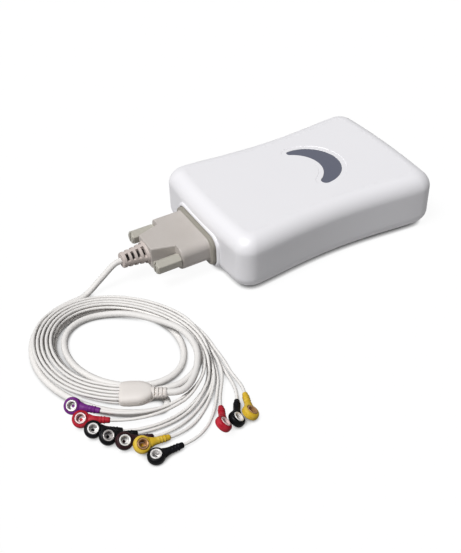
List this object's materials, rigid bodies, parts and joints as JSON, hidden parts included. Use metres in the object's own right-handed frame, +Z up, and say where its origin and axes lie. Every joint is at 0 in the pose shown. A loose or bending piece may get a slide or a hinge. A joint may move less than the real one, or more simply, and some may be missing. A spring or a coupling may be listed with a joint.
{
  "type": "pc-based ecg recorder",
  "caption": "Low white box with drawn-in sides and a crescent window, a screwed-on patient plug, and a coiled cable that fans out into snap leads.",
  "frame": {"origin": "under the middle of the box, on the surface it stands on", "axes": "+X along the box, away from its patient socket; +Y across it; +Z up"},
  "size_m": [0.2621, 0.1827, 0.0358],
  "materials": {
    "case_white": "glossy",
    "window_grey": "matt",
    "clear_plastic": "clear",
    "lamp": "glossy",
    "board_green": "satin solder mask",
    "tinplate": "tinned",
    "resistor_tan": "matt",
    "chip_black": "matt",
    "coil_yellow": "taped winding",
    "can_blue": "sleeved can",
    "screw_steel": "zinc plated",
    "foot_rubber": "matt",
    "connector_steel": "bright tin plate",
    "insert_black": "matt",
    "insert_white": "matt",
    "contact_gold": "gold plated",
    "hood_beige": "fine grain",
    "boot_beige": "soft matt",
    "cable_white": "soft satin jacket",
    "yoke_white": "satin",
    "lead_white": "soft satin jacket",
    "snap_violet": "satin moulding",
    "snap_red": "satin moulding",
    "snap_black": "satin moulding",
    "snap_brown": "satin moulding",
    "snap_yellow": "satin moulding",
    "ring_white": "satin",
    "spring_wire": "bright wire"
  },
  "bodies": {
    "case": {"top_cover": "case_white", "bottom_cover": "case_white", "indicator_window": "window_grey", "light_pipe": "clear_plastic", "status_leds": "lamp", "main_board": "board_green", "input_shield": "tinplate", "input_resistors": "resistor_tan", "circuit_chips": "chip_black", "isolation_transformer": "coil_yellow", "capacitors": "can_blue", "board_screws": "screw_steel", "case_screws": "screw_steel", "rubber_feet": "foot_rubber", "usb_socket": "connector_steel", "usb_tongue": "insert_white", "socket_shell": "connector_steel", "socket_insert": "insert_black", "socket_contacts": "contact_gold", "jack_sockets": "connector_steel"},
    "plug": {"plug_hood": "hood_beige", "plug_shell": "connector_steel", "plug_insert": "insert_black", "plug_pins": "contact_gold", "cable_boot": "boot_beige", "trunk_free": "cable_white", "trunk_coil": "cable_white", "yoke": "yoke_white", "yoke_relief": "cable_white", "lead_violet": "lead_white", "lead_red_left": "lead_white", "lead_black_a": "lead_white", "lead_black_b": "lead_white", "lead_brown": "lead_white", "lead_yellow_left": "lead_white", "lead_black_c": "lead_white", "lead_red_right": "lead_white", "lead_black_d": "lead_white", "lead_yellow_right": "lead_white", "snap_violet": "snap_violet", "snap_red_left": "snap_red", "snap_black_a": "snap_black", "snap_black_b": "snap_black", "snap_brown": "snap_brown", "snap_yellow_left": "snap_yellow", "snap_black_c": "snap_black", "snap_red_right": "snap_red", "snap_black_d": "snap_black", "snap_yellow_right": "snap_yellow", "snap_rings": "ring_white", "snap_springs": "spring_wire"},
    "near_retainer": {"near_clip": "connector_steel"},
    "far_retainer": {"far_clip": "connector_steel"},
    "near_screw": {"near_thumbscrew": "hood_beige"},
    "far_screw": {"far_thumbscrew": "hood_beige"}
  },
  "joints": [
    {"name": "plug_pull", "type": "slide", "parent": "case", "child": "plug", "axis": [-1, 0, 0], "range_m": [0, 0.012]},
    {"name": "near_screw_travel", "type": "slide", "parent": "plug", "child": "near_retainer", "axis": [-1, 0, 0], "range_m": [0, 0.00508]},
    {"name": "near_screw_turn", "type": "hinge", "parent": "near_retainer", "child": "near_screw", "pos_m": [-0.1, -0.01665, 0.0156], "axis": [-1, 0, 0], "range_deg": [0, 2880]},
    {"name": "far_screw_travel", "type": "slide", "parent": "plug", "child": "far_retainer", "axis": [-1, 0, 0], "range_m": [0, 0.00508]},
    {"name": "far_screw_turn", "type": "hinge", "parent": "far_retainer", "child": "far_screw", "pos_m": [-0.1, 0.01665, 0.0156], "axis": [-1, 0, 0], "range_deg": [0, 2880]}
  ],
  "couplings": [
    {"joint": "near_screw_turn", "follows": "near_screw_travel", "rad_per_m": 9894.8},
    {"joint": "far_screw_turn", "follows": "far_screw_travel", "rad_per_m": 9894.8}
  ]
}
